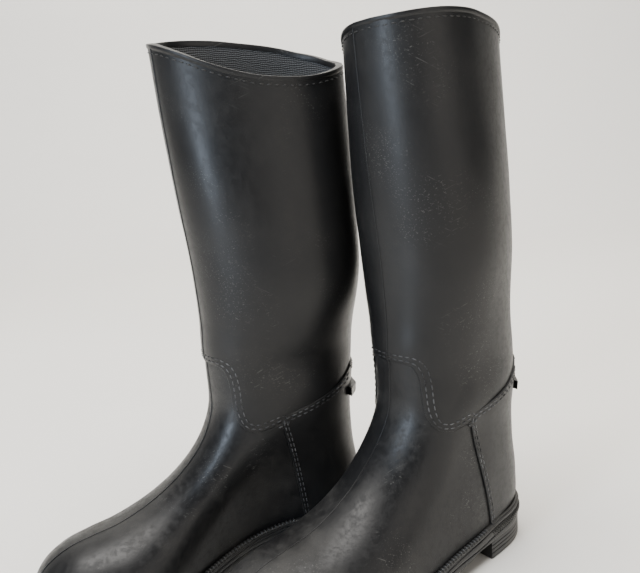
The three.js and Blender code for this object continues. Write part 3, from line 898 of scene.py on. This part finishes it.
def barsTree():
    # small rounded bars laid one after another along a path, each facing the way the surface does
    tree, given, result = geometryTree("barsAlongPath", [
        ("Pitch", "NodeSocketFloat", 0.005), ("Along", "NodeSocketFloat", 0.004),
        ("Across", "NodeSocketFloat", 0.001), ("Height", "NodeSocketFloat", 0.001),
        ("Slant", "NodeSocketFloat", 0.0), ("Unevenness", "NodeSocketFloat", 0.1)])
    curve = add(tree, "GeometryNodeMeshToCurve", {"Mesh": given.outputs["Geometry"]})
    spots = add(tree, "GeometryNodeCurveToPoints", {
        "Curve": curve.outputs[0], "Length": given.outputs["Pitch"]}, mode="LENGTH")
    facing = add(tree, "GeometryNodeInputNamedAttribute", {"Name": "surfaceNormal"}, data_type="FLOAT_VECTOR")
    ahead = add(tree, "FunctionNodeAlignRotationToVector", {"Vector": spots.outputs["Tangent"]}, axis="X")
    settled = add(tree, "FunctionNodeAlignRotationToVector", {
        "Rotation": ahead.outputs[0], "Vector": facing.outputs[0]}, axis="Z", pivot_axis="X")
    slant = add(tree, "FunctionNodeAxisAngleToRotation", {"Axis": (0, 0, 1), "Angle": given.outputs["Slant"]})
    turned = add(tree, "FunctionNodeRotateRotation", {
        "Rotation": settled.outputs[0], "Rotate By": slant.outputs[0]}, rotation_space="LOCAL")
    chance = add(tree, "FunctionNodeRandomValue", {2: -1, 3: 1, "Seed": 4}, data_type="FLOAT")
    varied = calc(tree, "MULTIPLY_ADD", chance.outputs[1], given.outputs["Unevenness"], 1)
    size = add(tree, "ShaderNodeCombineXYZ", {
        "X": calc(tree, "MULTIPLY", given.outputs["Along"], varied),
        "Y": given.outputs["Across"], "Z": given.outputs["Height"]})
    bar = add(tree, "GeometryNodeMeshUVSphere", {"Segments": 6, "Rings": 4, "Radius": 0.5})
    laid = add(tree, "GeometryNodeInstanceOnPoints", {
        "Points": spots.outputs["Points"], "Instance": bar.outputs["Mesh"],
        "Rotation": turned.outputs[0], "Scale": size.outputs[0]})
    finishTree(tree, given, result, laid.outputs[0])
    return tree


def lineTree():
    # a thin raised line along a path, half sunk in the surface
    tree, given, result = geometryTree("lineAlongPath", [
        ("Radius", "NodeSocketFloat", 0.0005), ("Step", "NodeSocketFloat", 0.003)])
    curve = add(tree, "GeometryNodeMeshToCurve", {"Mesh": given.outputs["Geometry"]})
    even = add(tree, "GeometryNodeResampleCurve", {
        "Curve": curve.outputs[0], "Length": given.outputs["Step"]}, mode="LENGTH")
    ring = add(tree, "GeometryNodeCurvePrimitiveCircle", {"Resolution": 8, "Radius": given.outputs["Radius"]})
    line = add(tree, "GeometryNodeCurveToMesh", {
        "Curve": even.outputs[0], "Profile Curve": ring.outputs[0], "Fill Caps": True})
    finishTree(tree, given, result, line.outputs[0])
    return tree


barsAlongPath = barsTree()
lineAlongPath = lineTree()


def grown(name, tree, path, side, material, **values):
    # path: points, normals and edges in the boot's frame; returns a plain mesh object
    points, normals, edges = path
    points, normals = np.asarray(points, float), np.asarray(normals, float)
    start = toRow(points, side)
    ends = toRow(points + normals, side)
    mesh = bpy.data.meshes.new(name + "_path")
    mesh.from_pydata(start.tolist(), [tuple(map(int, e)) for e in edges], [])
    attribute = mesh.attributes.new("surfaceNormal", "FLOAT_VECTOR", "POINT")
    attribute.data.foreach_set("vector", ((ends - start) / mm).astype(np.float32).ravel())
    carrier = bpy.data.objects.new(name + "_path", mesh)
    bpy.context.scene.collection.objects.link(carrier)
    modifier = carrier.modifiers.new("details", "NODES")
    modifier.node_group = tree
    for item in tree.interface.items_tree:
        if item.in_out == "INPUT" and item.name in values:
            modifier[item.identifier] = values[item.name]
        elif item.in_out == "INPUT" and item.name == "Material":
            modifier[item.identifier] = material
    carrier.update_tag()
    seen = carrier.evaluated_get(bpy.context.evaluated_depsgraph_get())
    made = bpy.data.meshes.new_from_object(seen)
    bpy.data.objects.remove(carrier)
    made.name = name
    made.shade_smooth()
    if not made.materials:
        made.materials.append(material)
    piece = bpy.data.objects.new(name, made)
    bpy.context.scene.collection.objects.link(piece)
    return piece


def together(name, parts):
    # one mesh object from several
    bpy.ops.object.select_all(action="DESELECT")
    for part in parts:
        part.select_set(True)
    bpy.context.view_layer.objects.active = parts[0]
    bpy.ops.object.join()
    parts[0].name = name
    parts[0].data.name = name
    return parts[0]


def ringPath(reach, down, low, high, facing):
    # a line round the foot where p is between low and high; down is measured from the upper's edge
    points = np.column_stack([planRing + planOut * reach, ringFeather - down])
    level = np.zeros((len(points), 1))
    normals = np.hstack([planOut, level]) if facing == "out" else np.hstack([level, level, level + 1])
    inRange = (ringP >= low) & (ringP <= high)
    edges = [(i, (i + 1) % len(points)) for i in range(len(points))]
    edges = [edge for edge in edges if inRange[edge[0]] and inRange[edge[1]]]
    used = sorted({i for edge in edges for i in edge})
    index = {i: k for k, i in enumerate(used)}
    return points[used], normals[used], [(index[a], index[b]) for a, b in edges]


def onPanel(label, offset, lift=0.1):
    # the line over a panel at one distance from its edge
    points, normals, edges = levelLine(*outerFaces[label], offset)
    return points + normals * lift, normals, edges


def only(path, keep):
    points, normals, edges = path
    return points, normals, [e for e in edges if keep(points[e[0]]) and keep(points[e[1]])]


stitch = {
    "bar": {"Pitch": 0.0052, "Along": 0.004, "Across": 0.001, "Height": 0.0011}, "rimPitch": 0.00572,
    # distances of the rows from the panel's edge, and of the rim's row from the rim
    "shaftRows": (2.4, 5.6), "counterTopRows": (2.0, 4.8), "counterFrontRows": (1.7, 4.0), "rimBelow": 5.0,
}
# reach beyond the upper, depth below its edge, the stretch of p, and the bars or line laid there
ribs = {
    "weltRibs": ((2.0, -0.15, 66, 300, "up"), {
        "Pitch": 0.0031, "Along": 0.0015, "Across": 0.0048, "Height": 0.003, "Unevenness": 0.05}),
    "hatch": ((3.3, 6.8, -20, 60, "out"), {
        "Pitch": 0.0026, "Along": 0.0013, "Across": 0.0064, "Height": 0.0032, "Slant": 0.5,
        "Unevenness": 0.05}),
    "heelBead": ((1.6, -0.35, -20, 62, "up"), {"Radius": 0.0009}),
    "heelBead2": ((3.3, 0.9, -20, 62, "up"), {"Radius": 0.0008}),
}


def away(line, point):
    return nearestOn(line, point[1:2], point[2:3])[0][0]


def seamPaths():
    ahead = junction[0] - 3
    paths = [only(onPanel("shaft_panel", row), lambda q: away(instepSeam, q) < 7 and q[1] > ahead)
             for row in stitch["shaftRows"]]
    for line, rows, slack in ((counterTop, "counterTopRows", 0.6), (counterFront, "counterFrontRows", 0.4)):
        for row in stitch[rows]:
            paths.append(only(onPanel("heel_counter", row), lambda q: away(line, q) < row + slack))
    return paths


rimSteps = 160


def rimPath():
    # places round the rim, the way the surface faces there, and the way down it
    v = np.linspace(-1, 1, rimSteps + 1)
    top = surfacePoints(np.zeros(len(v)), v)
    down = surfacePoints(np.full(len(v), 0.02), v) - top
    down /= np.linalg.norm(down, axis=1)[:, None]
    across = np.roll(top[:-1], -1, axis=0) - np.roll(top[:-1], 1, axis=0)
    across = np.vstack([across, across[:1]])
    normals = np.cross(across, down)
    normals /= np.linalg.norm(normals, axis=1)[:, None]
    if (normals[:, :2] * (top[:, :2] - last["rimMiddle"])).sum() < 0:
        normals = -normals
    return top[:-1], normals[:-1], down[:-1]


rimTop, rimNormal, rimDown = rimPath()
rimLoop = [(i, (i + 1) % rimSteps) for i in range(rimSteps)]


def frontSeam(label):
    # the raised line up the middle of the front
    mesh, _ = outerFaces[label]
    sideways = mesh[0][:, 0] - middleOf(mesh[0][:, 1], mesh[0][:, 2])
    return only(levelLine(mesh, sideways, 0.0), lambda q: q[1] > 95 and q[2] > 26)


# the rim lip's section: outward from the surface, and down from the rim
lipProfile = [
    (-4.6, 3.0), (-4.75, -0.3), (-4.3, -1.0), (-0.1, -1.15), (0.55, -0.9), (0.75, -0.3), (0.7, 1.6),
    (0.3, 2.0), (0.0, 3.0)]


def rimLip():
    columns = [rimTop + rimNormal * reach + rimDown * depth for reach, depth in lipProfile]
    return np.stack(columns, 1).reshape(-1, 3), ringFaces(rimSteps, len(lipProfile))


heel = {
    "breast": 61.6, "top": 14.7, "reach": 2.9, "treadDepth": 1.0,
    "grooves": (11.6, 8.4, 5.1), "grooveDepth": 0.5, "grooveHalf": 0.45,
}


def heelShape():
    # the heel block and its top lift: the back of the foot's plan, closed straight across at the breast
    count = len(planRing)
    behind = [i for i in range(count) if ringP[i] < heel["breast"] - 1]
    start = next(k for k in range(len(behind)) if behind[k] - behind[k - 1] != 1 and behind[k] != 0)
    order = behind[start:] + behind[:start]
    reach, depth, half = heel["reach"], heel["grooveDepth"], heel["grooveHalf"]
    profile = [(reach - 0.3, heel["top"])]
    for z in heel["grooves"]:
        profile += [(reach, z + half), (reach - depth, z + half * 0.3),
                    (reach - depth, z - half * 0.3), (reach, z - half)]
    profile += [(reach - 0.1, 0.8), (reach - 0.5, 0.2), (reach - 1.0, 0.0), (reach - 4.5, 0.0),
                (reach - 5.0, heel["treadDepth"])]
    rows = []
    for out, z in profile:
        arc = [planRing[i] + planOut[i] * out for i in order]
        breast = heel["breast"] - max(0, reach - 0.9 - out)
        arc = [np.array([arc[0][0], breast])] + arc + [np.array([arc[-1][0], breast])]
        rows.append(np.column_stack([np.array(arc), np.full(len(arc), z)]))
    k = len(rows[0])
    points = np.vstack(rows)
    faces = []
    for r in range(len(rows) - 1):
        for i in range(k):
            after = (i + 1) % k
            faces.append([r * k + i, r * k + after, (r + 1) * k + after, (r + 1) * k + i])
    walls = facingOut(points, np.array(faces)).tolist()
    caps = [list(range(k))[::-1], [(len(rows) - 1) * k + i for i in range(k)]]
    if walls[0] != faces[0]:
        caps = [cap[::-1] for cap in caps]
    return points, walls + caps


insole = {"top": 7.0, "bottom": 3.05}       # heights over the line where upper and sole meet


def insoleShape():
    top, low = ringFeather + insole["top"], ringFeather + insole["bottom"]
    return disc([(-11, top), (-8.4, top - 0.1), (-7.2, top - 0.6), (-6.6, top - 1.6), (-6.6, low + 1),
                 (-7.1, low + 0.2), (-8.2, low)])


lipPoints, lipFaces = rimLip()
insolePoints, insoleFaces = insoleShape()
heelPoints, heelFaces = heelShape()
for side in sides:
    seams = together(f"{side}_stitches", [
        grown(f"{side}_seam{i}", barsAlongPath, path, side, stitchRubber, **stitch["bar"])
        for i, path in enumerate(seamPaths())])
    bends(seams, side)
    rimLine = (rimTop + rimDown * stitch["rimBelow"] + rimNormal * 0.25, rimNormal, rimLoop)
    rimBars = {**stitch["bar"], "Pitch": stitch["rimPitch"]}
    rimRow = grown(f"{side}_rim_stitches", barsAlongPath, rimLine, side, soleRubber, **rimBars)
    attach(rimRow, f"{side}_shaft")
    lines = together(f"{side}_front_line", [
        grown(f"{side}_front{i}", lineAlongPath, frontSeam(label), side, upperRubber, Radius=0.00055)
        for i, label in enumerate(("vamp", "shaft_panel"))])
    bends(lines, side)
    lipFacing = facingOut(lipPoints, lipFaces)
    lip = meshObject(f"{side}_rim_lip", lipPoints, lipFacing, upperRubber, side, sharp=50)
    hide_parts(f"{side}_top_binding")
    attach(lip, f"{side}_shaft")
    details = []
    for label, (place, values) in ribs.items():
        # ribs, hatch and beads take the rib rubber, whose lighter colour is a painted highlight
        tree = lineAlongPath if "Radius" in values else barsAlongPath
        details.append(grown(f"{side}_{label}", tree, ringPath(*place), side, ribRubberPaintedHighlight, **values))
    details = together(f"{side}_sole_ribs", details)
    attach(details, f"{side}_foot")
    heelPiece = meshObject(f"{side}_heel_base", heelPoints, heelFaces, soleRubber, side, sharp=45)
    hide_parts(f"{side}_heel_block", f"{side}_heel_top_lift")
    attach(heelPiece, f"{side}_foot")
    sockFacing = facingOut(insolePoints, insoleFaces)
    sock = meshObject(f"{side}_insole_sock", insolePoints, sockFacing, insoleCloth, side)
    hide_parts(f"{side}_insole")
    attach(sock, f"{side}_insole")
print("stitches, ribs, rim and insoles made")

# looks of the pieces kept from the frame
keptLooks = {
    "spur_rest": upperRubber, "toe_stiffener": stiffenerSheet, "heel_stiffener": stiffenerSheet,
    "shank": springSteel, "insole_board": fibreBoard,
}
for side in sides:
    for node, look in keptLooks.items():
        kept = frame["nodes"][f"{side}_{node}"]
        for materialSlot in kept.material_slots:
            materialSlot.material = look
        if not kept.material_slots:
            kept.data.materials.append(look)

# floor, light and camera
stage = {
    "floor": (0.86, 0.835, 0.785), "overhead": 72.0, "window": 47.0, "room": 13.0, "wash": 48.0, "sky": 0.165,
    # how far the floor runs, in metres: towards the camera, to the wall's bend, up the wall and sideways
    "front": -3.0, "back": 1.2, "bend": 0.6, "wall": 4, "halfWidth": 5,
}


def backdrop():
    back, bend, steps = stage["back"], stage["bend"], 12
    profile = [(stage["front"], 0), (back, 0)]
    for i in range(1, steps + 1):
        angle = math.pi / 2 * i / steps
        profile.append((back + bend * math.sin(angle), bend * (1 - math.cos(angle))))
    profile.append((back + bend, stage["wall"]))
    toWall, sidewards = np.array([-0.80, 0.60]), np.array([0.60, 0.80])
    points, faces = [], []
    for reach, height in profile:
        for s in (-stage["halfWidth"], stage["halfWidth"]):
            at = toWall * reach + sidewards * s
            points.append((at[0], at[1], height))
    for i in range(len(profile) - 1):
        faces.append((2 * i, 2 * i + 1, 2 * i + 3, 2 * i + 2))
    mesh = bpy.data.meshes.new("floor")
    mesh.from_pydata(points, [], faces)
    mesh.shade_smooth()
    material, tree, shader = newMaterial("paleFloor")
    color = stage["floor"]
    tint = blendColor(tree, cloudy(tree, objectPlace(tree), 3.0, 3.0), tuple(c * 0.95 for c in color), color)
    fill(tree, shader, {"Base Color": tint, "Roughness": 0.9})
    mesh.materials.append(material)
    floor = bpy.data.objects.new("floor", mesh)
    bpy.context.scene.collection.objects.link(floor)


def softbox(name, place, target, size, power, color):
    light = bpy.data.lights.new(name, "AREA")
    light.shape = "RECTANGLE"
    light.size, light.size_y = size
    light.energy = power
    light.color = color
    lamp = bpy.data.objects.new(name, light)
    lamp.location = place
    lamp.rotation_euler = (Vector(target) - Vector(place)).to_track_quat("-Z", "Y").to_euler()
    bpy.context.scene.collection.objects.link(lamp)


def studio():
    softbox("overhead", (-0.2, 0.2, 2.4), (-0.2, 0.2, 0), (2.4, 2.4), stage["overhead"], (1, 0.975, 0.94))
    softbox("window", (0.35, -2.2, 0.75), (0, 0, 0.2), (0.55, 1.5), stage["window"], (0.72, 0.84, 1))
    softbox("room", (2.1, 0.25, 0.8), (0, 0.1, 0.2), (1.7, 1.5), stage["room"], (1, 0.94, 0.86))
    softbox("backdropWash", (-0.1, -0.1, 1.9), (-1.5, 1.1, 0.4), (1.4, 1.4), stage["wash"], (1, 0.975, 0.94))
    world = bpy.data.worlds.new("room")
    bpy.context.scene.world = world
    world.use_nodes = True
    background = world.node_tree.nodes["Background"]
    background.inputs["Color"].default_value = (0.92, 0.93, 0.95, 1)
    background.inputs["Strength"].default_value = stage["sky"]


view = {
    "place": (417.5, 489.0, 359.8),      # outward, forward of and above the left heel
    "yaw": -0.9297, "pitch": -0.2310, "roll": -0.0810, "lens": 45.28,
}


def viewCamera():
    camera = bpy.data.cameras.new("camera")
    camera.lens = view["lens"]
    camera.sensor_width = 36
    camera.clip_start = 0.01
    yaw, pitch, roll = view["yaw"], view["pitch"], view["roll"]
    ahead = Vector((math.cos(pitch) * math.sin(yaw), math.cos(pitch) * math.cos(yaw), math.sin(pitch)))
    level = Vector((math.cos(yaw), -math.sin(yaw), 0))
    upright = level.cross(ahead)
    across = math.cos(roll) * level + math.sin(roll) * upright
    upward = -math.sin(roll) * level + math.cos(roll) * upright
    seat = bpy.data.objects.new("camera", camera)
    place = Vector(toRow(np.array([view["place"]], float), "left")[0])
    seat.matrix_world = Matrix.Translation(place) @ Matrix((across, upward, -ahead)).transposed().to_4x4()
    bpy.context.scene.collection.objects.link(seat)
    bpy.context.scene.camera = seat


backdrop()
studio()
viewCamera()
